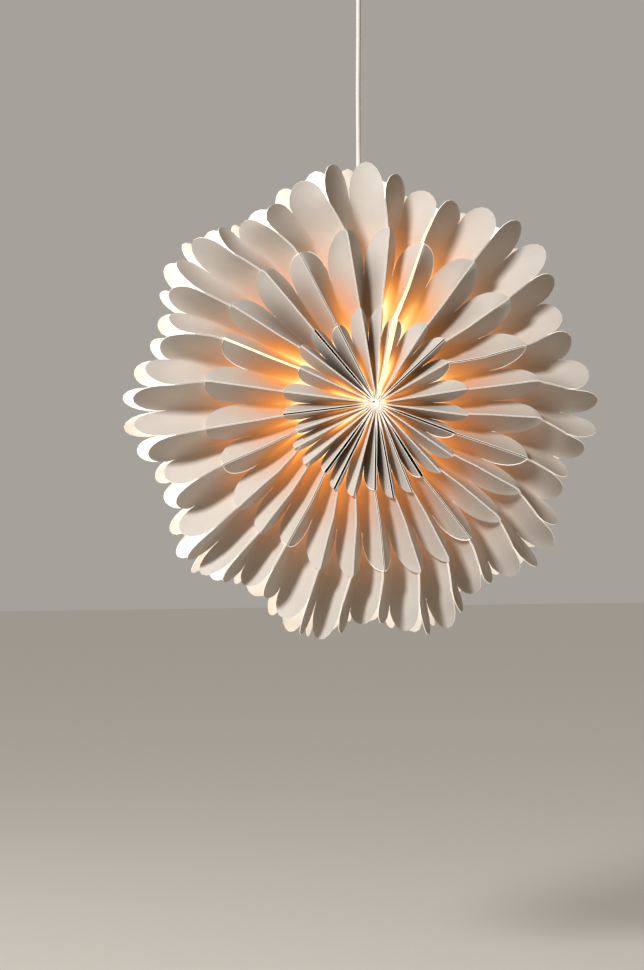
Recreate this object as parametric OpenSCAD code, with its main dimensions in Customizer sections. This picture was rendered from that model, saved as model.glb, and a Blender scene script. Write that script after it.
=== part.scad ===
// Paper advent star: folded card pockets round a lamp that hangs on a ceiling cord.
// Millimetres. The origin is on the ceiling, above the cord. The star faces -Y, X is to the right of it.
// Angles of the folds run clockwise from the top, as seen from the front.

/* [Star] */
// Distance from the ceiling to the middle of the star
drop = 600; // [520:10:1500]
// Distance of the star's middle to the right of the cord
star_x = 6; // [0:1:12]
// Reach of the longest petals from the star's middle
point_r = 300; // [270:1:330]
// How much shorter the petals beside the longest are
second_drop = 12; // [0:1:20]
// How much shorter the petals between two points of the star are
gap_drop = 25; // [0:1:36]
// Radius of the notches between outer petals
notch_r = 258; // [235:1:264]
// Extra depth of the notch at each third ridge
notch_drop = 12; // [0:1:20]

/* [Paper] */
// Thickness of the card
card_t = 0.8; // [0.5:0.1:1.2]
// Glue line between two sheets that are seated on each other
glue = 0.3; // [0.1:0.05:0.5]
// Half of the depth of the pockets, from the middle plane to a ridge
ridge_d = 61; // [56:1:80]
// Flat width of an outer petal, from ridge to valley
outer_w = 50; // [44:1:54]
// Flat width of a middle petal half
middle_w = 34; // [28:1:38]
// Flat width of an inner petal half
inner_w = 22; // [18:1:26]
// How round the valleys are, where 1 is a straight fold
valley_round = 1.7; // [1:0.1:2]

/* [Tiers] */
// Reach of the long middle petals
middle_r = 220; // [200:1:230]
// Reach of the long inner petals
inner_r = 123; // [110:1:135]
// How much shorter every third middle or inner petal is
tier_drop = 12; // [0:1:20]
// Radius where two middle petals meet in the valley
middle_valley_r = 163; // [140:1:180]
// Radius where two inner petals meet in the valley
inner_valley_r = 78; // [60:1:90]
// Radius where the middle tier starts, below the inner one
collar_start_r = 90; // [84:1:96]
// Radius of the hole where the inner folds meet
eye_r = 5; // [3:0.5:10]
// Radius of the lamp's space inside the pockets
lamp_space_r = 60; // [58:1:64]

/* [Lamp] */
// Diameter of the cord
cord_d = 5.8; // [5:0.1:7]
// Diameter of the bulb's glass
bulb_d = 45; // [36:1:48]
// Height of the bulb's glass middle above the star's middle
bulb_z = -16; // [-20:1:-14]
// Diameter of the bulb's cap where it enters the holder
bulb_cap_d = 14; // [12:0.5:15]
// Diameter of the lamp holder
holder_d = 27; // [24:0.5:30]
// Wall of the lamp holder
holder_wall = 2; // [1:0.1:2.5]
// Length of the lamp holder's body
holder_l = 28; // [26:1:30]
// Height of the support plate above the star's middle
plate_z = 41; // [39:1:43]
// Thickness of the support plate
plate_t = 2; // [1:0.5:3]
// Width of the support plate, from front to back
plate_w = 60; // [40:1:76]
// Height of the ring that clamps the support plate
ring_h = 5; // [3:0.5:6]
// Width of the ring round the holder
ring_w = 5.5; // [3:0.5:7]

/* [Ceiling fitting] */
// Diameter of the ceiling cup
cup_d = 90; // [86:1:110]
// Height of the ceiling cup
cup_h = 45; // [35:1:60]
// Wall of the ceiling cup
cup_wall = 2; // [1.5:0.1:3]
// Length of the ceiling strap
strap_l = 78; // [72:1:80]
// Width of the ceiling strap
strap_w = 16; // [14:1:20]
// Thickness of the ceiling strap
strap_t = 2; // [1:0.1:3]
// Distance between the two screw holes in the strap
hole_pitch = 60; // [50:1:64]
// Diameter of the screw holes
hole_d = 4.5; // [3.5:0.1:5.5]
// Outside diameter of the hollow tube that holds the cup
tube_d = 10; // [9.5:0.5:12]
// Wall of that tube
tube_wall = 1.5; // [1:0.1:1.8]
// Height of the nut on the tube
nut_h = 4; // [3:0.5:8]
// Size of the nut across its flats
nut_af = 17; // [15:1:19]
// Diameter of the cord grip
grip_d = 18; // [16:0.5:22]
// Height of the cord grip below the cup
grip_h = 16; // [14:1:20]

/* [Closing clips] */
// Length of a clip along the edge of the card
clip_l = 16; // [8:1:24]
// Reach of a clip over the card
clip_reach = 9; // [5:1:14]
// Wall of a clip
clip_t = 1.2; // [0.8:0.1:2]
// Distance of each clip from the middle plane
clip_d = 26; // [16:1:36]

/* [Hidden] */
// Ridge angles in degrees near the middle, at the middle petals and at the outer petals.
// The first ridge is the seam, where the star is opened and closed, and every third one is short.
ridges = [
  [13, 17, 18.5], [33.5, 35.5, 36], [47.5, 52.5, 52.5], [61, 69.5, 68.5], [81, 82, 86], [97, 94.5, 99],
  [110, 109, 111], [123.5, 120, 124], [136, 131.5, 135.5], [147, 144, 147.5], [157.5, 154, 157.5],
  [169.5, 164.5, 167.5], [181, 177, 179.5], [195, 188, 190], [207, 199.5, 199.5], [217.5, 213, 212.5],
  [230.5, 223, 223], [242, 234, 233], [251.5, 248.5, 247], [263, 261.5, 261], [276.5, 277, 274.5],
  [293.5, 292, 289], [306, 303, 301.5], [318.5, 318.5, 315], [332.5, 332, 327.5], [350, 350, 346],
  [363, 364.5, 362.5]];
pockets = len(ridges);
// Radii where the three ridge angles hold. Between them a ridge runs straight.
inner_at = inner_r;
middle_at = 172;
outer_at = 262;
// Petal lengths in the three pockets that make one point of the star, left and right of the valley
petal_drops = [[gap_drop, second_drop], [0, 0], [second_drop, gap_drop]];
// Places across half a fold, from the valley to the ridge
outer_steps = [0, 0.3, 0.7, 1];
tier_steps = [0, 0.55, 1];
// How far the ridges lie back towards the middle, so that each tier nests on the one below it
pocket_backs = [[lamp_space_r, 13], [inner_at, 7.5], [middle_at, 5], [notch_r, 1.5]];
collar_backs = [[collar_start_r, 3], [inner_at, 2], [middle_at, 0]];
// How far the middle and inner tiers stand in front of the outer ends of the pockets' ridges
collar_step = 2 * card_t;
rosette_step = 3 * card_t + 3 * glue;
// How much narrower the pockets' folds are at their inner ends
pocket_narrows = [[lamp_space_r, 10], [middle_at, 0]];
// How round the valleys of the two tiers are
tier_round = 1.1;
// How far each side of a tier stays from the seam
seam_gap = 1;
middle_z = -drop;
// Cord route above the star's middle, as it hangs: left to right, back and height
cord_route = [[0, 0, 48], [0, 0, 130], [0.5, 0, 220], [0, 0, 320], [-0.5, 0, drop - 200],
  [0, 0, drop - 130], [0, 0, drop - 6]];
cord_ring_step = 16;
cord_sides = 10;
cup_floor = 3;
tube_l = cup_h + 8;
fit = 0.2;
$fn = 48;

function ridge_angle(j, r) =
  let (k = j % pockets, a = ridges[k])
  lookup(r, [[inner_at, a[0]], [middle_at, a[1]], [outer_at, a[2]]]) + (j >= pockets ? 360 : 0);
function half_angle(j, r) = (ridge_angle(j + 1, r) - ridge_angle(j, r)) / 2;
function fold_angle(j, r, x) = (ridge_angle(j + 1, r) + ridge_angle(j, r)) / 2 + x * half_angle(j, r);
// Depth of a valley below its ridges, for card of flat width w
function fold_depth(j, r, w) =
  let (half = r * half_angle(j, r) * PI / 180)
  sqrt(max(w * w - half * half, w * w / 16));
function is_short(j) = j % 3 == 0;

// A place on a fold: x is -1 and 1 at the ridges and 0 in the valley, d the depth of the ridges
function fold_point(j, r, x, w, d, round = valley_round) =
  let (a = fold_angle(j, r, x))
  [r * sin(a), -(d - fold_depth(j, r, w) * (1 - pow(abs(x), round))), r * cos(a)];

// Petal outlines. An outer petal is a full lobe, a middle or inner one has its tip on the ridge.
function outer_end(j, x) =
  let (u = abs(x), side = x < 0 ? 0 : 1,
       tip = point_r - petal_drops[j % 3][side],
       foot = notch_r - (is_short(j + side) ? notch_drop * u : 0))
  foot + (tip - foot) * sqrt(1 - pow(2 * u - 1, 2));
function tier_tip(j, x, tip_r) = tip_r - (is_short(j + (x < 0 ? 0 : 1)) ? tier_drop : 0);
function tier_end(j, x, valley_r, tip_r) =
  valley_r + (tier_tip(j, x, tip_r) - valley_r) * sqrt(1 - pow(1 - abs(x), 2));

function unit(v) = v / norm(v);
function at(list, i) = list[(i + len(list)) % len(list)];
// Half thickness at a grid point, mitred so that a sheet keeps its thickness at a fold
function skin_offset(rows, i, k, closed) =
  let (n = len(rows[i]), last = len(rows) - 1,
       before = closed || k > 0 ? at(rows[i], k - 1) : 2 * rows[i][k] - rows[i][k + 1],
       after = closed || k < n - 1 ? at(rows[i], k + 1) : 2 * rows[i][k] - rows[i][k - 1],
       along = rows[min(i + 1, last)][k] - rows[max(i - 1, 0)][k],
       n1 = unit(cross(rows[i][k] - before, along)),
       n2 = unit(cross(after - rows[i][k], along)))
  (n1 + n2) * min(3, 1 / max(1 + n1 * n2, 0.01)) * card_t / 2;

// A sheet of card through a grid of points, as one closed solid
module card_sheet(rows, closed = false) {
  m = len(rows);
  n = len(rows[0]);
  upper = [for (i = [0 : m - 1]) for (k = [0 : n - 1]) rows[i][k] + skin_offset(rows, i, k, closed)];
  lower = [for (i = [0 : m - 1]) for (k = [0 : n - 1]) rows[i][k] - skin_offset(rows, i, k, closed)];
  function up(i, k) = i * n + k % n;
  function low(i, k) = m * n + i * n + k % n;
  cells = closed ? n - 1 : n - 2;
  polyhedron(
    points = concat(upper, lower),
    faces = concat(
      [for (i = [0 : m - 2]) for (k = [0 : cells]) each
        [[up(i, k), up(i + 1, k + 1), up(i, k + 1)], [up(i, k), up(i + 1, k), up(i + 1, k + 1)],
         [low(i, k), low(i, k + 1), low(i + 1, k + 1)], [low(i, k), low(i + 1, k + 1), low(i + 1, k)]]],
      [for (k = [0 : cells]) each
        [[up(0, k), up(0, k + 1), low(0, k + 1)], [up(0, k), low(0, k + 1), low(0, k)],
         [up(m - 1, k), low(m - 1, k + 1), up(m - 1, k + 1)],
         [up(m - 1, k), low(m - 1, k), low(m - 1, k + 1)]]],
      closed ? [] : [for (i = [0 : m - 2]) each
        [[up(i, 0), low(i + 1, 0), up(i + 1, 0)], [up(i, 0), low(i, 0), low(i + 1, 0)],
         [up(i, n - 1), up(i + 1, n - 1), low(i + 1, n - 1)],
         [up(i, n - 1), low(i + 1, n - 1), low(i, n - 1)]]]),
    convexity = 10);
}

// Moves a place in from a ridge by half a card and half a glue line, so that neighbours seat
function seat(p, j, r, x) =
  abs(x) < 1 ? p :
  let (a = fold_angle(j, r, x), s = -x * (card_t + glue) / 2)
  p + [s * cos(a), 0, -s * sin(a)];
function across(steps) = [for (k = [len(steps) - 1 : -1 : 1]) -steps[k], for (s = steps) s];

// One pocket: two walls and a fold in front and behind, from a single sheet
module pocket(j) {
  xs = across(outer_steps);
  back = [for (k = [len(xs) - 1 : -1 : 0]) xs[k]];
  function ring(level) = concat(
    [for (x = xs) place(level, x)],
    [for (x = back) let (p = place(level, x)) [p[0], -p[1], p[2]]]);
  function place(level, x) =
    let (r = level == 3 ? outer_end(j, x) : [lamp_space_r, inner_at, middle_at][level])
    seat(fold_point(j, r, x, outer_w - lookup(r, pocket_narrows), ridge_d - lookup(r, pocket_backs)),
      j, r, x);
  color("#F1E9DD") translate([star_x, 0, middle_z])
    card_sheet([for (level = [0 : 3]) ring(level)], closed = true);
}

// One tier of folds that runs all round in front of the pockets, open at the seam.
// Its rows lie where the ridges of the pockets turn, so that the two seat on each other.
module tier(levels, valley_r, tip_r, w, step, backs) {
  first = levels[0];
  xs = [for (j = [0 : pockets - 1]) for (x = across(tier_steps)) if (x < 1 || j == pockets - 1) [j, x]];
  function place(k, level) =
    let (j = xs[k][0], x = xs[k][1],
         t = (level - first) / (tier_tip(j, x, tip_r) - first),
         r = first + (tier_end(j, x, valley_r, tip_r) - first) * min(1, t),
         p = fold_point(j, r, x, w, ridge_d + step - lookup(r, backs), tier_round),
         a = fold_angle(j, r, x),
         s = k == 0 ? seam_gap : k == len(xs) - 1 ? -seam_gap : 0)
    p + [s * cos(a), 0, -s * sin(a)];
  card_sheet([for (level = levels) [for (k = [0 : len(xs) - 1]) place(k, level)]]);
}
module collar()
  tier([collar_start_r, inner_at, middle_at, middle_r], middle_valley_r, middle_r, middle_w, collar_step,
    collar_backs);
module rosette()
  tier([eye_r, inner_r], inner_valley_r, inner_r, inner_w, rosette_step, [[0, 0], [inner_r, 0]]);

module front_collar() color("#F3EBDF") translate([star_x, 0, middle_z]) collar();
module back_collar() color("#F3EBDF") translate([star_x, 0, middle_z]) mirror([0, 1, 0]) collar();
module front_rosette() color("#F6EEE2") translate([star_x, 0, middle_z]) rosette();
module back_rosette() color("#F6EEE2") translate([star_x, 0, middle_z]) mirror([0, 1, 0]) rosette();

// A channel pushed over the outer edges of the two walls that meet at the seam
module clip(y) {
  edge_r = notch_r - notch_drop;
  a = ridge_angle(0, edge_r);
  m = ridge_angle(0, middle_at);
  edge = edge_r * [sin(a), cos(a)];
  run = edge - middle_at * [sin(m), cos(m)];
  half = card_t + glue / 2 + 0.05;
  translate([star_x + edge[0], y, middle_z + edge[1]]) rotate([0, atan2(run[0], run[1]), 0])
    difference() {
      translate([-half - clip_t, -clip_l / 2, -clip_reach])
        cube([2 * (half + clip_t), clip_l, clip_reach + fit + clip_t]);
      translate([-half, -clip_l / 2 - 1, -clip_reach - 1])
        cube([2 * half, clip_l + 2, clip_reach + 1 + fit]);
    }
}
module front_clip() color("#E9E4DA") clip(-clip_d);
module back_clip() color("#E9E4DA") clip(clip_d);

// A bent strip whose curved ends carry the inner edges of the upper pockets
module support_plate() {
  top_r = lamp_space_r - glue;
  low_r = top_r - plate_t;
  upper = acos((plate_z + plate_t) / low_r);
  lower = acos(plate_z / low_r);
  function arc(r, from, to) =
    [for (k = [0 : 5]) let (a = from + (to - from) * k / 5) r * [sin(a), cos(a)]];
  color("#D8D2C6") translate([star_x, 0, middle_z]) difference() {
    translate([0, plate_w / 2, 0]) rotate([90, 0, 0]) linear_extrude(plate_w)
      polygon(concat(arc(top_r, -57, -25), arc(low_r, -25, -upper), arc(low_r, upper, 30),
        arc(top_r, 30, 51), arc(low_r, 51, lower), arc(low_r, -lower, -57)));
    translate([-star_x, 0, plate_z - 1]) cylinder(d = holder_d + 0.3, h = plate_t + 2);
  }
}

module at_lamp(z) translate([0, 0, middle_z + z]) children();
module tube(outer, inner, h) difference() {
  cylinder(d = outer, h = h);
  translate([0, 0, -1]) cylinder(d = inner, h = h + 2);
}
holder_top = plate_z + plate_t;
module shade_ring() color("#ECE7DC") at_lamp(plate_z - ring_h)
  tube(holder_d + 2 * ring_w, holder_d + fit, ring_h);
module holder_body() color("#ECE7DC") at_lamp(holder_top - holder_l)
  tube(holder_d, holder_d - 2 * holder_wall, holder_l);
module holder_insert() color("#F4F1EA") at_lamp(holder_top - holder_l + 1)
  difference() {
    cylinder(d = holder_d - 2 * holder_wall - fit, h = holder_l - 4);
    translate([0, 0, -1]) cylinder(d = bulb_cap_d + 2 * fit, h = holder_l - 7);
  }
module holder_cap() color("#ECE7DC") at_lamp(holder_top) difference() {
  union() {
    cylinder(d = holder_d + 3, h = 2);
    cylinder(d = holder_d, h = 7);
    translate([0, 0, 7]) cylinder(d1 = holder_d, d2 = 16, h = 5);
  }
  translate([0, 0, -1]) cylinder(d = holder_d - 2 * holder_wall, h = 7);
  cylinder(d = cord_d, h = 20);
}
module bulb() color("#FFE9C2") at_lamp(0) rotate_extrude() {
  foot = holder_top - holder_l - 1;
  polygon(concat(
    [for (a = [-90 : 9 : 36]) [bulb_d / 2 * cos(a), bulb_z + bulb_d / 2 * sin(a)]],
    [[bulb_cap_d / 2 + 1.5, foot], [bulb_cap_d / 2, foot],
     [bulb_cap_d / 2, foot + 21.6], [0, foot + 21.6]]));
}

// The cord is swept through its route in rings that stay level
route_end = cord_route[len(cord_route) - 1][2];
module cord() {
  count = ceil((route_end - cord_route[0][2]) / cord_ring_step);
  heights = [for (i = [0 : count]) cord_route[0][2] + (route_end - cord_route[0][2]) * i / count];
  function side(z) = lookup(z, [for (p = cord_route) [p[2], p[0]]]);
  function ahead(z) = lookup(z, [for (p = cord_route) [p[2], p[1]]]);
  n = cord_sides;
  color("#EFEDE8") at_lamp(0) polyhedron(
    points = [for (z = heights) for (k = [0 : n - 1])
      [side(z) + cord_d / 2 * cos(k * 360 / n), ahead(z) + cord_d / 2 * sin(k * 360 / n), z]],
    faces = concat(
      [[for (k = [0 : n - 1]) k]],
      [for (i = [0 : count - 1]) for (k = [0 : n - 1]) each
        [[i * n + k, (i + 1) * n + k, i * n + (k + 1) % n],
         [i * n + (k + 1) % n, (i + 1) * n + k, (i + 1) * n + (k + 1) % n]]],
      [[for (k = [n - 1 : -1 : 0]) count * n + k]]));
}

// Parts at the ceiling
module ceiling_strap() color("#C9CACC") translate([0, 0, -strap_t]) difference() {
  translate([-strap_l / 2, -strap_w / 2, 0]) cube([strap_l, strap_w, strap_t]);
  for (x = [-hole_pitch / 2, hole_pitch / 2]) translate([x, 0, -1]) cylinder(d = hole_d, h = strap_t + 2);
  translate([0, 0, -1]) cylinder(d = tube_d + fit, h = strap_t + 2);
}
module lock_nut() color("#C9CACC") translate([0, 0, -strap_t - nut_h]) difference() {
  cylinder(d = nut_af / cos(30), h = nut_h, $fn = 6);
  translate([0, 0, -1]) cylinder(d = tube_d + fit, h = nut_h + 2);
}
module nipple_tube() color("#C9CACC") translate([0, 0, -tube_l])
  tube(tube_d, tube_d - 2 * tube_wall, tube_l);
module ceiling_cup() color("#F2F0EB") translate([0, 0, -cup_h]) difference() {
  cylinder(d1 = cup_d - 6, d2 = cup_d, h = cup_h);
  translate([0, 0, cup_floor])
    cylinder(d1 = cup_d - 6 - 2 * cup_wall, d2 = cup_d - 2 * cup_wall, h = cup_h);
  translate([0, 0, -1]) cylinder(d = tube_d + fit, h = cup_floor + 2);
}
module cord_grip() color("#F2F0EB") translate([0, 0, -cup_h - grip_h]) difference() {
  union() {
    cylinder(d1 = grip_d - 6, d2 = grip_d, h = 5);
    translate([0, 0, 5]) cylinder(d = grip_d, h = grip_h - 5);
  }
  translate([0, 0, -1]) cylinder(d = cord_d, h = grip_h + 2);
  translate([0, 0, grip_h - 8]) cylinder(d = tube_d + fit, h = 9);
}

function pocket_name(j) = str("pocket_", j < 10 ? "0" : "", j);

for (j = [1 : pockets]) pocket(j - 1);
front_collar();
back_collar();
front_rosette();
back_rosette();
front_clip();
back_clip();
support_plate();
shade_ring();
holder_body();
holder_insert();
holder_cap();
bulb();
cord();
ceiling_strap();
lock_nut();
nipple_tube();
ceiling_cup();
cord_grip();
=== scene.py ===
"""Paper advent star: folded card pockets round a lamp, on a ceiling cord. Metres, in the row frame."""
import math
from typing import Callable, NamedTuple

import bmesh
import bpy
from bpy.props import FloatProperty, FloatVectorProperty, PointerProperty
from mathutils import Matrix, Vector


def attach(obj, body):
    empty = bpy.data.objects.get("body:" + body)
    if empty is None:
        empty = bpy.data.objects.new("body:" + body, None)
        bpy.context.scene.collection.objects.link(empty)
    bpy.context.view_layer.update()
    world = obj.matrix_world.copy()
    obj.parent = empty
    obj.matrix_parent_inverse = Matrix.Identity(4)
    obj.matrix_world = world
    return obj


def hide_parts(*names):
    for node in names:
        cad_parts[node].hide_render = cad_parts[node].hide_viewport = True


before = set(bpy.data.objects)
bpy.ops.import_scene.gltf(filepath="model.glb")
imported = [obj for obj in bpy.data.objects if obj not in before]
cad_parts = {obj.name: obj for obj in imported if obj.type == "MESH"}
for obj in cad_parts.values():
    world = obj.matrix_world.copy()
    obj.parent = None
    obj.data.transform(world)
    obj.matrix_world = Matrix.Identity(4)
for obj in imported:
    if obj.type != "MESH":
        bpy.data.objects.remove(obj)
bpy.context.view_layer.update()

bl_info = {
    "name": "Paper advent star",
    "version": (1, 0, 0),
    "blender": (4, 5, 0),
    "location": "3D View > Sidebar > Paper Star",
    "description": "Builds a folded paper star lantern on its ceiling cord",
    "category": "Add Mesh",
}

# The star's middle in the row frame, as in part.scad
STAR_X = 0.006
MIDDLE_Z = -0.600
# Height of the floor, below the lowest petals
FLOOR_Z = -1.36

# Ridge angles in degrees, clockwise from the top: near the middle, at the middle petals and at the
# outer petals. They are the ones in part.scad. The first ridge is the seam, every third one is short.
RIDGES = (
    (13, 17, 18.5), (33.5, 35.5, 36), (47.5, 52.5, 52.5), (61, 69.5, 68.5), (81, 82, 86), (97, 94.5, 99),
    (110, 109, 111), (123.5, 120, 124), (136, 131.5, 135.5), (147, 144, 147.5), (157.5, 154, 157.5),
    (169.5, 164.5, 167.5), (181, 177, 179.5), (195, 188, 190), (207, 199.5, 199.5), (217.5, 213, 212.5),
    (230.5, 223, 223), (242, 234, 233), (251.5, 248.5, 247), (263, 261.5, 261), (276.5, 277, 274.5),
    (293.5, 292, 289), (306, 303, 301.5), (318.5, 318.5, 315), (332.5, 332, 327.5), (350, 350, 346),
    (363, 364.5, 362.5))
POCKETS = len(RIDGES)
MIDDLE_AT, OUTER_AT = 0.214, 0.262
# How far a ridge has turned from its inner to its middle angle, by radius, behind the inner petals
TURNS = ((0.105, 0.0), (0.123, 0.4), (0.150, 0.75), (MIDDLE_AT, 1.0))
# How much shorter than the longest the petals of each third pocket are, left and right of its valley
PETAL_DROPS = ((0.025, 0.012), (0.0, 0.0), (0.012, 0.025))

# How strongly the lamp shines through the valley of each inner fold, clockwise from the seam
INNER_GLOW = (1.6, 0.9, 0.5, 0.6, 0.5, 0.35, 0.6, 0.85, 0.6, 0.3, 0.5, 0.0, 0.15, 1.1, 0.2, 0.45, 1.25, 0.7,
              0.7, 0.6, 1.2, 1.0, 0.1, 0.25, 0.9, 0.4, 1.8)
# The same for the middle folds, and how dark some of them are
MIDDLE_GLOW = (1.3, 0.35, 0.5, 0.85, 0.6, 0.6, 0.7, 0.7, 0.7, 0.6, 0.5, 0.5, 0.6, 0.8, 0.7, 0.7, 0.9, 0.9,
               0.9, 0.9, 1.0, 1.2, 0.25, 0.5, 0.8, 0.2, 1.7)
MIDDLE_SHADE = {1: 0.5, 2: 0.2, 22: 0.6, 23: 0.4, 25: 0.6}
# How dark the depth of each inner fold is, where the card lies in its own shade
INNER_SHADE = (0.0, 0.3, 0.8, 0.0, 0.4, 0.5, 0.3, 0.2, 0.4, 0.7, 0.5, 1.0, 0.9, 0.1, 0.9, 0.6, 0.0, 0.5,
               0.4, 0.5, 0.0, 0.2, 1.0, 0.9, 0.2, 0.8, 0.0)
# Ridges whose two edges stand apart as a slot, and the slot's width in millimetres
INNER_SLOTS = {2: 1.8, 6: 2.4, 9: 3.6, 10: 1.4, 11: 2.2, 12: 2.2, 14: 2.8, 15: 3.2, 19: 2.0, 23: 2.8, 24: 1.4}
MIDDLE_SLOTS = {3: 1.1, 6: 1.3, 9: 1.2, 12: 1.0, 15: 1.2, 18: 1.0, 21: 1.8, 24: 1.1}
# The same at all the other ridges, in millimetres
CLOSED_SLOT = 0.5

# Radii of the rows of a pocket, and shares of the way from the last of them to the petal's edge
POCKET_LEVELS = (0.060, 0.070, 0.082, 0.095, 0.109, 0.123, 0.139, 0.155, 0.172, 0.190, 0.206, 0.221, 0.233)
POCKET_TAILS = (0.3, 0.6, 0.82, 0.94, 1.0)
# Places of the columns on a wall, as shares of its depth
WALL_SHARES = (0.12, 0.3, 0.5, 0.7, 0.88)
# By radius: how much narrower the folds of a pocket are, and how far its ridges lie back
POCKET_NARROWING = ((0.060, 0.010), (0.172, 0.0))
POCKET_BACKS = ((0.060, 0.013), (0.123, 0.0075), (0.172, 0.005), (0.258, 0.0015))
# How far each pocket at the seam stands away from it in front and behind, and the share of it by radius
SEAM_OPENING = 0.0014
SEAM_SHARES = ((0.17, 1.0), (0.215, 0.35), (0.25, 0.2))
# Width of the pale cut edge along a ridge, which carries the painted highlight
POCKET_EDGE, TIER_EDGE = 0.0001, 0.00045

# Surfaces of a folded sheet. Each has three finishes: the front, the side towards the lamp, the rim.
# EDGE, the flat edge along a ridge, has the cut edge's painted highlight
FACE, SLOT, EDGE, LIT = 0, 3, 6, 9


# Materials

def paint(code):
    """Linear colour from an sRGB hex value."""
    parts = [int(code[k:k + 2], 16) / 255 for k in (1, 3, 5)]
    return [c / 12.92 if c <= 0.04045 else ((c + 0.055) / 1.055) ** 2.4 for c in parts] + [1.0]


def add_node(tree, kind, settings=None, inputs=None):
    """Adds a node with its settings. An input is a value, or the socket that it is linked to."""
    node = tree.nodes.new(kind)
    for name, value in (settings or {}).items():
        setattr(node, name, value)
    for name, value in (inputs or {}).items():
        if isinstance(value, bpy.types.NodeSocket):
            tree.links.new(value, node.inputs[name])
        else:
            node.inputs[name].default_value = value
    return node


def new_material(name, fallback):
    """A material with a Principled shader, and its shader and tree."""
    mat = bpy.data.materials.new(name)
    mat.use_nodes = True
    mat.diffuse_color = fallback
    return mat, mat.node_tree, mat.node_tree.nodes["Principled BSDF"]


def ramp(tree, socket, stops):
    """A colour ramp over a socket, from (place, linear colour) pairs."""
    node = add_node(tree, "ShaderNodeValToRGB", inputs={"Fac": socket})
    elements = node.color_ramp.elements
    elements[0].position, elements[0].color = stops[0]
    elements[1].position, elements[1].color = stops[-1]
    for place, colour in stops[1:-1]:
        elements.new(place).color = colour
    return node.outputs["Color"]


def fibre_bump(tree, shader, strength):
    """Fibres of felted pulp are about 0.02 mm wide, too fine to show, so they are drawn as a cloudy
    relief of 2 mm."""
    place = add_node(tree, "ShaderNodeTexCoord").outputs["Object"]
    fibres = add_node(tree, "ShaderNodeTexNoise", inputs={
        "Vector": place, "Scale": 1 / 0.002, "Detail": 3.0, "Roughness": 0.6})
    bump = add_node(tree, "ShaderNodeBump", inputs={
        "Height": fibres.outputs["Fac"], "Distance": 0.0002, "Strength": strength})
    tree.links.new(bump.outputs["Normal"], shader.inputs["Normal"])
    return place


def uncoated_card(look):
    """Uncoated pulp card, pressed without a glaze: matte, slightly uneven in tone, and lamp light comes
    through it as orange where it is close to the bulb."""
    mat, tree, shader = new_material("uncoated card", look.card)
    place = fibre_bump(tree, shader, 0.25)
    glow = add_node(tree, "ShaderNodeAttribute", {"attribute_name": "glow"}).outputs["Fac"]
    shade = add_node(tree, "ShaderNodeAttribute", {"attribute_name": "shade"}).outputs["Fac"]
    # Cloudy tone of the pulp, about 25 mm across
    cloud = add_node(tree, "ShaderNodeTexNoise", inputs={"Vector": place, "Scale": 1 / 0.025, "Detail": 2.0})
    tone = add_node(tree, "ShaderNodeMix", {"data_type": "RGBA"}, {
        0: cloud.outputs["Fac"], 6: look.card, 7: look.card_cloud})
    # The card looks warm sooner than it gives off light
    warmth = add_node(tree, "ShaderNodeMath", {"operation": "MULTIPLY", "use_clamp": True}, {0: glow, 1: 1.9})
    warmed = add_node(tree, "ShaderNodeMix", {"data_type": "RGBA"}, {
        0: warmth.outputs[0], 6: tone.outputs[2], 7: look.card_warm})
    dimmed = add_node(tree, "ShaderNodeMix", {"data_type": "RGBA"}, {
        0: shade, 6: warmed.outputs[2], 7: look.card_shade})
    tree.links.new(dimmed.outputs[2], shader.inputs["Base Color"])
    light = ramp(tree, glow, [
        (0.0, (0, 0, 0, 1)), (0.12, (0.05, 0.020, 0.004, 1)), (0.3, (0.20, 0.078, 0.018, 1)),
        (0.5, (0.46, 0.20, 0.048, 1)), (0.7, (0.86, 0.46, 0.12, 1)), (0.85, (1.0, 0.72, 0.24, 1)),
        (1.0, (1.0, 0.93, 0.58, 1))])
    tree.links.new(light, shader.inputs["Emission Color"])
    shader.inputs["Emission Strength"].default_value = look.glow_strength
    shader.inputs["Roughness"].default_value = 0.85
    shader.inputs["Specular IOR Level"].default_value = 0.25
    return mat


def lamp_side_card(look):
    """The same card on the side that faces the lamp: lit by it, so warm white."""
    mat, tree, shader = new_material("uncoated card, lamp side", look.card)
    place = fibre_bump(tree, shader, 0.2)
    cloud = add_node(tree, "ShaderNodeTexNoise", inputs={"Vector": place, "Scale": 1 / 0.03, "Detail": 2.0})
    light = ramp(tree, cloud.outputs["Fac"], [(0.3, paint("#FFEFDA")), (0.7, paint("#FFF8EE"))])
    tree.links.new(light, shader.inputs["Emission Color"])
    shader.inputs["Emission Strength"].default_value = look.inside_strength
    shader.inputs["Base Color"].default_value = look.card
    shader.inputs["Roughness"].default_value = 0.85
    return mat


def cut_edge_with_painted_highlight(look):
    """A die-cut edge of the card: open, pale fibres, with a painted highlight that shows as a thin bright
    line.
    """
    mat, tree, shader = new_material("die-cut card edge, painted highlight", look.edge)
    fibre_bump(tree, shader, 0.3)
    shader.inputs["Base Color"].default_value = look.edge
    shader.inputs["Roughness"].default_value = 0.9
    # Painted highlight: the edge gives off a faint white light of its own
    shader.inputs["Emission Color"].default_value = paint("#FFF4E8")
    shader.inputs["Emission Strength"].default_value = 0.7
    return mat


def shaded_card():
    """Card deep between two folds, where hardly any light gets in: a dark warm brown."""
    mat, tree, shader = new_material("uncoated card, deep fold", paint("#2A1B10"))
    fibre_bump(tree, shader, 0.2)
    shader.inputs["Base Color"].default_value = paint("#20130A")
    shader.inputs["Roughness"].default_value = 0.95
    shader.inputs["Specular IOR Level"].default_value = 0.0
    return mat


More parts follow.
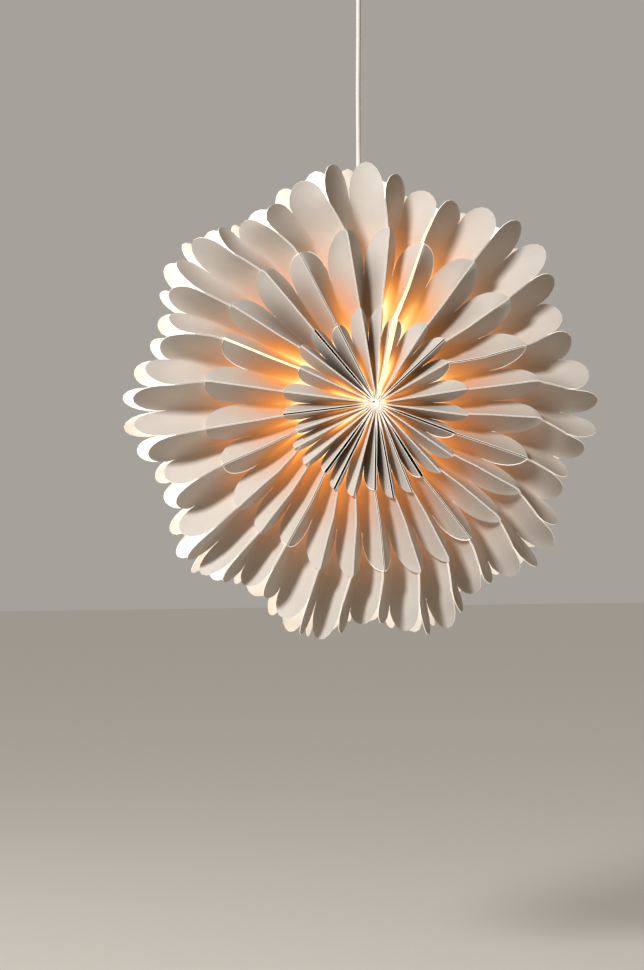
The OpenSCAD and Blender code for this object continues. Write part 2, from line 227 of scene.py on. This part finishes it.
def lamp_lit_card():
    """Card at the seam with the bulb shining straight on it: almost white, with a yellow edge."""
    mat, tree, shader = new_material("uncoated card, in lamp light", paint("#FFE9A8"))
    place = fibre_bump(tree, shader, 0.2)
    cloud = add_node(tree, "ShaderNodeTexNoise", inputs={"Vector": place, "Scale": 1 / 0.04, "Detail": 1.0})
    light = ramp(tree, cloud.outputs["Fac"], [(0.3, paint("#FFD27A")), (0.7, paint("#FFF3C4"))])
    tree.links.new(light, shader.inputs["Emission Color"])
    shader.inputs["Emission Strength"].default_value = 1.0
    shader.inputs["Base Color"].default_value = paint("#FFE9C0")
    shader.inputs["Roughness"].default_value = 0.85
    return mat


def card_finishes(look):
    """The finishes of a folded sheet, three for each surface, made once and shared."""
    made = [bpy.data.materials.get(name) for name in (
        "uncoated card", "uncoated card, lamp side", "die-cut card edge, painted highlight", "uncoated card, deep fold",
        "uncoated card, in lamp light")]
    if None in made:
        made = [uncoated_card(look), lamp_side_card(look), cut_edge_with_painted_highlight(look), shaded_card(), lamp_lit_card()]
    card, side, rim, deep, lit = made
    # The cut edge with its painted highlight goes on the front's rims and on the ridges' flat edges
    return [card, side, rim, deep, deep, deep, rim, side, rim, lit, lit, lit]


def smooth_finish(name, colour, roughness, grain_mm):
    """A smooth surface that is no metal, such as moulded plastic, glaze, paint or a cord's sheath. It has
    the faint grain that its making leaves and a slightly uneven tone."""
    mat, tree, shader = new_material(name, paint(colour))
    place = add_node(tree, "ShaderNodeTexCoord").outputs["Object"]
    grain = add_node(tree, "ShaderNodeTexNoise", inputs={
        "Vector": place, "Scale": 1000 / grain_mm, "Detail": 2.0})
    bump = add_node(tree, "ShaderNodeBump", inputs={
        "Height": grain.outputs["Fac"], "Distance": 0.0001, "Strength": 0.15})
    tree.links.new(bump.outputs["Normal"], shader.inputs["Normal"])
    cloud = add_node(tree, "ShaderNodeTexNoise", inputs={"Vector": place, "Scale": 1 / 0.02, "Detail": 2.0})
    base = paint(colour)
    tone = ramp(tree, cloud.outputs["Fac"], [
        (0.35, [c * 0.95 for c in base[:3]] + [1.0]), (0.65, base)])
    tree.links.new(tone, shader.inputs["Base Color"])
    shader.inputs["Roughness"].default_value = roughness
    shader.inputs["IOR"].default_value = 1.5
    return mat


def metal(name, colour, roughness, grain_mm):
    """Rolled or plated steel: fine lengthwise scratches break up the reflections."""
    mat, tree, shader = new_material(name, paint(colour))
    place = add_node(tree, "ShaderNodeTexCoord").outputs["Object"]
    stretched = add_node(tree, "ShaderNodeMapping", inputs={"Vector": place, "Scale": (0.05, 1.0, 1.0)})
    scratch = add_node(tree, "ShaderNodeTexNoise", inputs={
        "Vector": stretched.outputs["Vector"], "Scale": 1000 / grain_mm, "Detail": 4.0})
    rough = add_node(tree, "ShaderNodeMapRange", inputs={
        "Value": scratch.outputs["Fac"], "To Min": roughness - 0.08, "To Max": roughness + 0.1})
    tree.links.new(rough.outputs["Result"], shader.inputs["Roughness"])
    bump = add_node(tree, "ShaderNodeBump", inputs={
        "Height": scratch.outputs["Fac"], "Distance": 0.00005, "Strength": 0.3})
    tree.links.new(bump.outputs["Normal"], shader.inputs["Normal"])
    shader.inputs["Base Color"].default_value = paint(colour)
    shader.inputs["Metallic"].default_value = 1.0
    return mat


def frosted_glass(look):
    """Opal bulb glass, frosted inside: a lit bulb is white-hot in the middle and warmer at its rim."""
    mat, tree, shader = new_material("opal bulb glass", paint("#FFE9C2"))
    rim = add_node(tree, "ShaderNodeLayerWeight", inputs={"Blend": 0.35}).outputs["Facing"]
    light = ramp(tree, rim, [(0.0, paint("#FFF6DC")), (1.0, paint("#FFC878"))])
    tree.links.new(light, shader.inputs["Emission Color"])
    shader.inputs["Emission Strength"].default_value = look.bulb_strength
    shader.inputs["Base Color"].default_value = paint("#FFF3DE")
    shader.inputs["Roughness"].default_value = 0.3
    return mat


# Shapes

def lookup(table, r):
    """Straight runs between the rows of a table."""
    if r <= table[0][0]:
        return table[0][1]
    for (r0, v0), (r1, v1) in zip(table, table[1:]):
        if r <= r1:
            return v0 + (v1 - v0) * (r - r0) / (r1 - r0)
    return table[-1][1]


def ridge_angle(j, r, inner_tier):
    """The inner petals keep one angle. The sheets behind them start to turn under their tips."""
    inner, middle, outer = RIDGES[j % POCKETS]
    turn = 0 if inner_tier else middle - inner
    table = [(at, inner + share * turn) for at, share in TURNS] + [(OUTER_AT, outer)]
    return lookup(table, r) + (360 if j >= POCKETS else 0)


def is_short(j):
    """Whether a ridge is one of the short ones between the star's points."""
    return j % 3 == 0


def fold_point(j, r, x, level, width, depth, bend, side, gap, edge, sink=0.0, inner_tier=False):
    """A place on a fold. x is -1 and 1 at the ridges and 0 in the valley. Two ridge edges stand gap
    apart, each with a flat edge. level is 0 on the fold, 1 at the foot of that edge and 2 beyond it."""
    first, last = ridge_angle(j, r, inner_tier), ridge_angle(j + 1, r, inner_tier)
    half = math.radians(last - first) / 2
    reach = max(r * half, 0.0001)
    # Near the middle, where the folds are narrow, gap and edge get narrower with them
    gap, edge = min(gap / 2, reach * 0.3), min(edge, reach * 0.25)
    at = x * (1 - (gap + edge) / reach) if level == 0 else math.copysign(
        1 - (gap + (edge if level == 1 else 0)) / reach, x)
    # The flat width of the sheet sets how deep the valley is, and keeps it open
    valley = math.sqrt(max(width * width - reach * reach, width * width / 16))
    y = depth - valley * (1 - abs(x) ** bend) - sink
    angle = math.radians(first + last) / 2 + at * half
    return Vector((STAR_X + r * math.sin(angle), -side * y, MIDDLE_Z + r * math.cos(angle)))


def sheet_object(name, rows, surfaces, glow, shade, thickness, closed, flip, finishes):
    """A folded sheet of card through a grid of places, given its thickness on the lamp side."""
    bm = bmesh.new()
    glow_layer, shade_layer = bm.verts.layers.float.new("glow"), bm.verts.layers.float.new("shade")
    grid = []
    for i, row in enumerate(rows):
        line = []
        for k, place in enumerate(row):
            vert = bm.verts.new(place)
            vert[glow_layer], vert[shade_layer] = glow[i][k], shade[i][k]
            line.append(vert)
        grid.append(line)
    count = len(rows[0])
    for i in range(len(rows) - 1):
        for k in range(count if closed else count - 1):
            corners = [grid[i][k], grid[i][(k + 1) % count], grid[i + 1][(k + 1) % count], grid[i + 1][k]]
            face = bm.faces.new(corners[::-1] if flip else corners)
            face.material_index = surfaces[k]
            face.smooth = True
    mesh = bpy.data.meshes.new(name)
    bm.to_mesh(mesh)
    bm.free()
    for finish in finishes:
        mesh.materials.append(finish)
    piece = bpy.data.objects.new(name, mesh)
    bpy.context.scene.collection.objects.link(piece)
    solid = piece.modifiers.new("card thickness", "SOLIDIFY")
    solid.thickness, solid.offset = thickness, -1.0
    solid.material_offset, solid.material_offset_rim = 1, 2
    depsgraph = bpy.context.evaluated_depsgraph_get()
    made = bpy.data.meshes.new_from_object(piece.evaluated_get(depsgraph))
    piece.modifiers.clear()
    piece.data = made
    bpy.data.meshes.remove(mesh)
    made.name = name
    made.set_sharp_from_angle(angle=math.radians(38))
    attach(piece, "root")
    return piece


def outer_end(size, j, x):
    """Outline of the two outer petals of a pocket: each is a full rounded lobe."""
    u, side = abs(x), 0 if x < 0 else 1
    tip = size.point_reach - PETAL_DROPS[j % 3][side]
    foot = size.notch_reach - (size.notch_drop * u if is_short(j + side) else 0)
    return foot + (tip - foot) * math.sqrt(max(0.0, 1 - (2 * u - 1) ** 2))


def pocket_light(j, r, u):
    """How much lamp light shows on an outer fold: most in the valley, near the lamp and at the seam."""
    seam = 2.2 if j in (0, POCKETS - 1) else 1.0
    near = math.exp(-((max(r, 0.1) - 0.1) / 0.08) ** 2)
    foot = math.exp(-((r - 0.075) / 0.02) ** 2)
    return (0.95 * near * (1 - 0.7 * u) + 0.55 * foot) * seam


def pocket_columns(at_seam):
    """Columns round a pocket: place across the fold, level, side, share of the wall's depth, surface. They
    run over the front fold, the right wall, the back fold and the left wall."""
    steps = [(1 - math.cos(math.pi * t / 10)) / 2 for t in range(11)]
    across = [-u for u in steps[:0:-1]] + steps
    columns = []
    for side in (1, -1):
        wall = LIT if at_seam[side] else FACE
        fold = [(-side, 2, EDGE), (-side, 1, FACE)] + [(side * x, 0, FACE) for x in across[1:-1]]
        fold += [(side, 1, EDGE), (side, 2, wall)]
        columns += [(x, level, side, 0.0, surface) for x, level, surface in fold]
        columns += [(side, 2, side, share, wall) for share in WALL_SHARES]
    return columns


def make_pocket(size, j, finishes):
    """One pocket: two walls and a fold in front and behind, from a single sheet."""
    at_seam = {-1: j == 0, 1: j == POCKETS - 1}
    columns = pocket_columns(at_seam)
    stations = [(start, 0.0) for start in POCKET_LEVELS]
    stations += [(POCKET_LEVELS[-1], tail) for tail in POCKET_TAILS]
    rows, glow = [], []
    for start, tail in stations:
        row, lights = [], []
        for x, level, side, share, _ in columns:
            r = start + (outer_end(size, j, x) - start) * tail
            width = size.outer_width - lookup(POCKET_NARROWING, r)
            depth = size.ridge_depth - lookup(POCKET_BACKS, r)
            gap = size.card_thickness + size.glue_line
            if abs(x) == 1 and at_seam[x]:
                gap += 2 * SEAM_OPENING * abs(1 - 2 * share) ** 4 * lookup(SEAM_SHARES, r)
            place = fold_point(j, r, x, level, width, depth, size.valley_round, side, gap, POCKET_EDGE)
            place.y *= 1 - 2 * share
            row.append(place)
            lights.append(pocket_light(j, r, abs(x)) if share == 0 else 0.0)
        rows.append(row)
        glow.append(lights)
    shade = [[0.0] * len(columns) for _ in rows]
    piece = sheet_object(f"card_pocket_{j + 1:02d}", rows, [c[4] for c in columns], glow, shade,
                         size.card_thickness, True, False, finishes)
    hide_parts(f"pocket_{j + 1:02d}")


class Tier(NamedTuple):
    """What sets one tier of folds apart from the other. Its tables run by radius."""
    levels: tuple  # radii of the rows
    notch_r: float  # radius of the notches between the petals
    backs: tuple  # how far the ridges lie back
    bend: float  # 1 is a straight fold
    slots: dict  # ridges whose edges stand apart, in millimetres
    lit: tuple  # ridges whose slot shows the lamp
    sinks: tuple  # depth of the slots
    seam: tuple  # width of the seam
    inner: bool  # whether the ridges keep their inner angles
    light: Callable  # lamp light at a fold, radius and share of the way from valley to ridge
    dark: Callable  # shade, in the same way


def tier_columns(tier):
    """Columns across a tier: fold, place across it, level, share of the slot's depth, slot width, surface."""
    steps = [1 - math.cos(math.pi / 2 * t / 8) for t in range(8)]
    across = [-u for u in steps[:0:-1]] + steps
    columns = []
    for j in range(POCKETS):
        for x in (-1, *across, 1):
            ridge = (j + (x > 0)) % POCKETS
            gap = tier.slots.get(ridge, CLOSED_SLOT) / 1000
            deep = LIT if ridge in tier.lit else SLOT
            if x == -1:
                columns += [(j, x, 2, 1.0, gap, deep), (j, x, 2, 0.0, gap, EDGE), (j, x, 1, 0.0, gap, FACE)]
            elif x == 1:
                columns += [(j, x, 1, 0.0, gap, EDGE), (j, x, 2, 0.0, gap, deep), (j, x, 2, 1.0, gap, deep)]
            else:
                columns.append((j, x, 0, 0.0, gap, FACE))
    return columns


def make_tier(name, node, size, side, tier, reach, width, step, finishes):
    """One tier of folds that runs all round in front of the pockets and is open at the seam."""
    columns = tier_columns(tier)
    first = tier.levels[0]
    rows, glow, shade = [], [], []
    for start in tier.levels:
        row, lights, darks = [], [], []
        for j, x, level, share, gap, _ in columns:
            tip = reach - (size.tier_drop if is_short(j + (x >= 0)) else 0)
            end = tier.notch_r + (tip - tier.notch_r) * math.sqrt(1 - (1 - abs(x)) ** 2)
            r = first + (end - first) * min(1, (start - first) / (tip - first))
            if (j == 0 and x < 0) or (j == POCKETS - 1 and x > 0):
                gap = lookup(tier.seam, r)
            depth = size.ridge_depth + step - lookup(tier.backs, r)
            row.append(fold_point(j, r, x, level, width, depth, tier.bend, side, gap, TIER_EDGE,
                                  share * lookup(tier.sinks, r), tier.inner))
            lights.append(tier.light(j, r, abs(x)))
            darks.append(tier.dark(j, r, abs(x)))
        rows.append(row)
        glow.append(lights)
        shade.append(darks)
    piece = sheet_object(name, rows, [c[5] for c in columns], glow, shade, size.card_thickness, False,
                         side < 0, finishes)
    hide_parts(node)


def middle_light(j, r, u):
    """Strong at the foot of a middle fold, behind the inner petals, and fading outwards."""
    near = math.exp(-((max(r, 0.1) - 0.1) / 0.062) ** 2)
    foot = math.exp(-((r - 0.085) / 0.014) ** 2)
    return MIDDLE_GLOW[j] * 0.72 * near * (1 - 0.55 * u) + 0.5 * foot * (1 - u)


def middle_dark(j, r, u):
    return MIDDLE_SHADE.get(j, 0.0) * (1 - u ** 2) * lookup(((0.10, 1.0), (0.16, 0.8), (0.20, 0.0)), r)


def inner_light(j, r, u):
    """Strong in the valleys near the bulb, with a white-hot spot where all the folds meet."""
    near = math.exp(-((r - 0.034) / 0.034) ** 2) if r > 0.034 else 1.0
    return INNER_GLOW[j] * near * (1 - u ** 1.4) * 0.85 + 2.8 * math.exp(-(r / 0.0115) ** 2)


def inner_dark(j, r, u):
    depth = lookup(((0.01, 0.4), (0.025, 1.0), (0.08, 0.75), (0.118, 0.1)), r)
    return min(1.0, INNER_SHADE[j] * (1 - u ** 2.5) * depth)


MIDDLE_TIER = Tier(
    levels=(0.090, 0.098, 0.107, 0.115, 0.123, 0.133, 0.143, 0.153, 0.163, 0.172, 0.180, 0.188, 0.196, 0.203,
            0.209, 0.215, 0.220),
    notch_r=0.163, backs=((0.090, 0.003), (0.123, 0.002), (0.172, 0.0)), bend=1.35, slots=MIDDLE_SLOTS,
    lit=(0, 21), sinks=((0.090, 0.0015),), seam=((0.090, 0.005), (0.15, 0.003), (0.22, 0.001)), inner=False,
    light=middle_light, dark=middle_dark)
INNER_TIER = Tier(
    levels=(0.005, 0.008, 0.012, 0.017, 0.023, 0.030, 0.038, 0.047, 0.057, 0.067, 0.077, 0.086, 0.094, 0.102,
            0.109, 0.115, 0.1195, 0.123),
    notch_r=0.078, backs=((0.005, 0.0),), bend=1.3, slots=INNER_SLOTS, lit=(0,),
    sinks=((0.005, 0.004), (0.03, 0.012), (0.078, 0.010), (0.088, 0.0016)),
    seam=((0.005, 0.001), (0.03, 0.004), (0.06, 0.006), (0.123, 0.006)), inner=True, light=inner_light,
    dark=inner_dark)


# Settings

class PaperStarSizes(bpy.types.PropertyGroup):
    point_reach: FloatProperty(name="Point reach", description="Reach of the longest petals",
                               default=0.303, unit="LENGTH")
    notch_reach: FloatProperty(name="Notch reach", description="Radius of the notches between outer petals",
                               default=0.257, unit="LENGTH")
    notch_drop: FloatProperty(name="Notch drop", description="Extra depth of the notch at each third ridge",
                              default=0.012, unit="LENGTH")
    ridge_depth: FloatProperty(name="Ridge depth", description="Half of the depth of the pockets",
                               default=0.061, unit="LENGTH")
    outer_width: FloatProperty(name="Outer petal width", description="Flat width of an outer petal",
                               default=0.050, unit="LENGTH")
    middle_width: FloatProperty(name="Middle petal width", description="Flat width of a middle petal half",
                                default=0.034, unit="LENGTH")
    inner_width: FloatProperty(name="Inner petal width", description="Flat width of an inner petal half",
                               default=0.022, unit="LENGTH")
    middle_reach: FloatProperty(name="Middle reach", description="Reach of the long middle petals",
                                default=0.222, unit="LENGTH")
    inner_reach: FloatProperty(name="Inner reach", description="Reach of the long inner petals",
                               default=0.120, unit="LENGTH")
    tier_drop: FloatProperty(name="Tier drop", description="How much shorter every third petal is",
                             default=0.012, unit="LENGTH")
    valley_round: FloatProperty(name="Valley rounding", description="1 is a straight fold", default=1.7)
    card_thickness: FloatProperty(name="Card thickness", description="Thickness of the card",
                                  default=0.0008, unit="LENGTH")
    glue_line: FloatProperty(name="Glue line", description="Glue between two seated sheets",
                             default=0.0003, unit="LENGTH")
    cord_diameter: FloatProperty(name="Cord diameter", description="Diameter of the cord",
                                 default=0.0058, unit="LENGTH")


class PaperStarLook(bpy.types.PropertyGroup):
    card: FloatVectorProperty(name="Card", description="Colour of the card", subtype="COLOR", size=4,
                              default=paint("#E2DDD6"), min=0, max=1)
    card_cloud: FloatVectorProperty(name="Card cloud", description="Tone of the card's cloudy places",
                                    subtype="COLOR", size=4, default=paint("#D9D1C7"), min=0, max=1)
    card_warm: FloatVectorProperty(name="Lit through", description="Card with the lamp right behind it",
                                   subtype="COLOR", size=4, default=paint("#BC7A48"), min=0, max=1)
    card_shade: FloatVectorProperty(name="Deep shade", description="Card deep in an inner fold",
                                    subtype="COLOR", size=4, default=paint("#2E1D12"), min=0, max=1)
    edge: FloatVectorProperty(name="Cut edge", description="Colour of the cut edges", subtype="COLOR",
                              size=4, default=paint("#FBF6EE"), min=0, max=1)
    glow_strength: FloatProperty(name="Glow", description="Strength of the light through the card",
                                 default=1.0)
    inside_strength: FloatProperty(name="Inside", description="Strength of the light on the lamp side",
                                   default=0.45)
    bulb_strength: FloatProperty(name="Bulb", description="Strength of the bulb", default=6.0)


# Operators

class PAPERSTAR_OT_camera(bpy.types.Operator):
    """Puts the camera where the photograph was taken from"""
    bl_idname = "paperstar.camera"
    bl_label = "Camera"

    def execute(self, context):
        data = bpy.data.cameras.new("camera")
        data.lens, data.sensor_width = 99.1, 36.0
        camera = bpy.data.objects.new("camera", data)
        camera.location = (-0.893, -3.273, -0.674)
        camera.rotation_euler = (math.radians(89.516), 0, math.radians(-14.48))
        context.scene.collection.objects.link(camera)
        context.scene.camera = camera
        return {"FINISHED"}


class PAPERSTAR_OT_cord(bpy.types.Operator):
    """Hangs the round cord from the ceiling fitting"""
    bl_idname = "paperstar.cord"
    bl_label = "Cord"

    def execute(self, context):
        diameter = context.scene.paper_star_sizes.cord_diameter
        # Height and sideways place along the route, as in part.scad
        route = ((-0.552, 0.0), (-0.470, 0.0), (-0.380, 0.0005), (-0.280, 0.0), (-0.200, -0.0005),
                 (-0.130, 0.0), (-0.006, 0.0))
        curve = bpy.data.curves.new("lamp_cord", "CURVE")
        curve.dimensions = "3D"
        curve.bevel_depth, curve.bevel_resolution, curve.use_fill_caps = diameter / 2, 8, True
        count = 27
        spline = curve.splines.new("POLY")
        spline.points.add(count)
        for k, point in enumerate(spline.points):
            z = route[0][0] + (route[-1][0] - route[0][0]) * k / count
            point.co = (lookup(route, z), 0.0, z, 1.0)
        cord = bpy.data.objects.new("lamp_cord", curve)
        context.scene.collection.objects.link(cord)
        # Extruded round the twisted cores: smooth and satin
        curve.materials.append(smooth_finish("PVC cord sheath", "#EFEDE8", 0.42, 0.8))
        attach(cord, "root")
        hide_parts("cord")
        return {"FINISHED"}


class PAPERSTAR_OT_pockets(bpy.types.Operator):
    """Folds the ring of pockets with the outer petals"""
    bl_idname = "paperstar.pockets"
    bl_label = "Pockets"

    def execute(self, context):
        finishes = card_finishes(context.scene.paper_star_look)
        for j in range(POCKETS):
            make_pocket(context.scene.paper_star_sizes, j, finishes)
        return {"FINISHED"}


class PAPERSTAR_OT_collars(bpy.types.Operator):
    """Folds the tier of middle petals in front and behind"""
    bl_idname = "paperstar.collars"
    bl_label = "Middle petals"

    def execute(self, context):
        size, finishes = context.scene.paper_star_sizes, card_finishes(context.scene.paper_star_look)
        for name, node, side in (("front_middle_petals", "front_collar", 1),
                                 ("back_middle_petals", "back_collar", -1)):
            make_tier(name, node, size, side, MIDDLE_TIER, size.middle_reach, size.middle_width,
                      2 * size.card_thickness, finishes)
        return {"FINISHED"}


class PAPERSTAR_OT_rosettes(bpy.types.Operator):
    """Folds the tier of inner petals in front and behind"""
    bl_idname = "paperstar.rosettes"
    bl_label = "Inner petals"

    def execute(self, context):
        size, finishes = context.scene.paper_star_sizes, card_finishes(context.scene.paper_star_look)
        for name, node, side in (("front_inner_petals", "front_rosette", 1),
                                 ("back_inner_petals", "back_rosette", -1)):
            make_tier(name, node, size, side, INNER_TIER, size.inner_reach, size.inner_width,
                      3 * (size.card_thickness + size.glue_line), finishes)
        return {"FINISHED"}


def dress(node, material):
    """Gives a carried-over CAD node its finish."""
    piece = bpy.data.objects.get(node)
    if piece is None:
        raise RuntimeError(f"the frame has no object named {node}")
    piece.data.materials.clear()
    piece.data.materials.append(material)


class PAPERSTAR_OT_lamp(bpy.types.Operator):
    """Finishes the lamp holder, the bulb, the plate and the clips"""
    bl_idname = "paperstar.lamp"
    bl_label = "Lamp and clips"

    def execute(self, context):
        # Injection-moulded, with the spark-eroded grain of the mould
        holder = smooth_finish("moulded PBT", "#ECE7DC", 0.38, 0.6)
        for node in ("holder_body", "holder_cap", "shade_ring"):
            dress(node, holder)
        # Dipped in glaze and fired: glossy and slightly wavy
        dress("holder_insert", smooth_finish("glazed porcelain", "#F4F1EA", 0.2, 1.5))
        # Powder sprayed on and baked, with a fine orange peel
        dress("support_plate", smooth_finish("powder-coated steel", "#D8D2C6", 0.5, 0.5))
        # Injection-moulded, left as it comes from the mould
        clip = smooth_finish("moulded polypropylene", "#E9E4DA", 0.45, 0.6)
        dress("front_clip", clip)
        dress("back_clip", clip)
        dress("bulb", frosted_glass(context.scene.paper_star_look))
        return {"FINISHED"}


class PAPERSTAR_OT_ceiling_fitting(bpy.types.Operator):
    """Finishes the fitting at the ceiling"""
    bl_idname = "paperstar.ceiling_fitting"
    bl_label = "Ceiling fitting"

    def execute(self, context):
        # Injection-moulded in a polished mould
        cup = smooth_finish("moulded ABS", "#F2F0EB", 0.35, 0.7)
        dress("ceiling_cup", cup)
        dress("cord_grip", cup)
        # Pressed from sheet, then plated with zinc
        steel = metal("zinc-plated steel", "#B9BBBE", 0.38, 0.4)
        for node in ("ceiling_strap", "lock_nut", "nipple_tube"):
            dress(node, steel)
        return {"FINISHED"}


class PAPERSTAR_OT_stage(bpy.types.Operator):
    """Sets the pale floor and backdrop, the world and the lamps"""
    bl_idname = "paperstar.stage"
    bl_label = "Stage"

    def execute(self, context):
        scene = context.scene
        bm = bmesh.new()
        bm.faces.new([bm.verts.new((x, y, FLOOR_Z)) for x, y in ((-9, -9), (9, -9), (9, 9), (-9, 9))])
        mesh = bpy.data.meshes.new("studio_floor")
        bm.to_mesh(mesh)
        bm.free()
        floor = bpy.data.objects.new("studio_floor", mesh)
        scene.collection.objects.link(floor)
        mat, tree, shader = new_material("matt studio paper", paint("#C4C1BB"))
        shader.inputs["Base Color"].default_value = paint("#B9B6B0")
        shader.inputs["Roughness"].default_value = 0.95
        # The floor stays pale where the lamps don't reach it, for the camera only
        rays = add_node(tree, "ShaderNodeLightPath").outputs
        seen = add_node(tree, "ShaderNodeMath", {"operation": "MULTIPLY"}, {0: rays["Is Camera Ray"], 1: 0.7})
        shader.inputs["Emission Color"].default_value = paint("#A6A29B")
        tree.links.new(seen.outputs[0], shader.inputs["Emission Strength"])
        mesh.materials.append(mat)

        world = bpy.data.worlds.new("soft studio")
        world.use_nodes = True
        tree = world.node_tree
        tree.nodes["Background"].inputs["Color"].default_value = paint("#E8BE90")
        tree.nodes["Background"].inputs["Strength"].default_value = 0.12
        # The camera, and glossy and clear surfaces, see a plain pale backdrop in place of the soft light
        rays = add_node(tree, "ShaderNodeLightPath").outputs
        seen = add_node(tree, "ShaderNodeMath", {"operation": "MAXIMUM"}, {
            0: rays["Is Camera Ray"], 1: rays["Is Glossy Ray"]}).outputs[0]
        seen = add_node(tree, "ShaderNodeMath", {"operation": "MAXIMUM"}, {
            0: seen, 1: rays["Is Transmission Ray"]}).outputs[0]
        backdrop = add_node(tree, "ShaderNodeBackground", inputs={"Color": paint("#A6A29B"), "Strength": 1.0})
        mixed = add_node(tree, "ShaderNodeMixShader", inputs={
            0: seen, 1: tree.nodes["Background"].outputs[0], 2: backdrop.outputs[0]})
        tree.links.new(mixed.outputs[0], tree.nodes["World Output"].inputs["Surface"])
        scene.world = world
        target = Vector((STAR_X, 0, MIDDLE_Z))
        for name, place, size, power, colour in (
                ("key softbox", (-2.15, -1.7, 1.0), 0.7, 92.0, (1.0, 0.995, 0.985)),
                ("fill softbox", (1.4, -2.8, -0.5), 1.6, 1.5, (1.0, 0.88, 0.74)),
                ("rim softbox", (-1.2, 1.0, -0.1), 0.7, 3.5, (1.0, 0.95, 0.88))):
            data = bpy.data.lights.new(name, "AREA")
            data.shape, data.size, data.energy, data.color = "DISK", size, power, colour
            lamp = bpy.data.objects.new(name, data)
            lamp.location = place
            lamp.rotation_euler = (target - Vector(place)).to_track_quat("-Z", "Y").to_euler()
            scene.collection.objects.link(lamp)
        scene.view_settings.view_transform = "Standard"
        return {"FINISHED"}


class PAPERSTAR_PT_panel(bpy.types.Panel):
    """Lists the sizes, the look and the steps"""
    bl_label = "Paper Star"
    bl_idname = "PAPERSTAR_PT_panel"
    bl_space_type = "VIEW_3D"
    bl_region_type = "UI"
    bl_category = "Paper Star"

    def draw(self, context):
        for group in (context.scene.paper_star_sizes, context.scene.paper_star_look):
            box = self.layout.box()
            for name in group.__annotations__:
                box.prop(group, name)
        for step in STEPS:
            self.layout.operator(step.bl_idname)


STEPS = (PAPERSTAR_OT_camera, PAPERSTAR_OT_cord, PAPERSTAR_OT_pockets, PAPERSTAR_OT_collars,
         PAPERSTAR_OT_rosettes, PAPERSTAR_OT_lamp, PAPERSTAR_OT_ceiling_fitting, PAPERSTAR_OT_stage)
CLASSES = (PaperStarSizes, PaperStarLook, *STEPS, PAPERSTAR_PT_panel)


def register():
    for cls in CLASSES:
        bpy.utils.register_class(cls)
    bpy.types.Scene.paper_star_sizes = PointerProperty(type=PaperStarSizes)
    bpy.types.Scene.paper_star_look = PointerProperty(type=PaperStarLook)


def unregister():
    del bpy.types.Scene.paper_star_look
    del bpy.types.Scene.paper_star_sizes
    for cls in reversed(CLASSES):
        bpy.utils.unregister_class(cls)


def main():
    register()
    bpy.ops.paperstar.camera()
    bpy.ops.paperstar.cord()
    bpy.ops.paperstar.pockets()
    bpy.ops.paperstar.collars()
    bpy.ops.paperstar.rosettes()
    bpy.ops.paperstar.lamp()
    bpy.ops.paperstar.ceiling_fitting()
    bpy.ops.paperstar.stage()


if __name__ == "__main__":
    main()
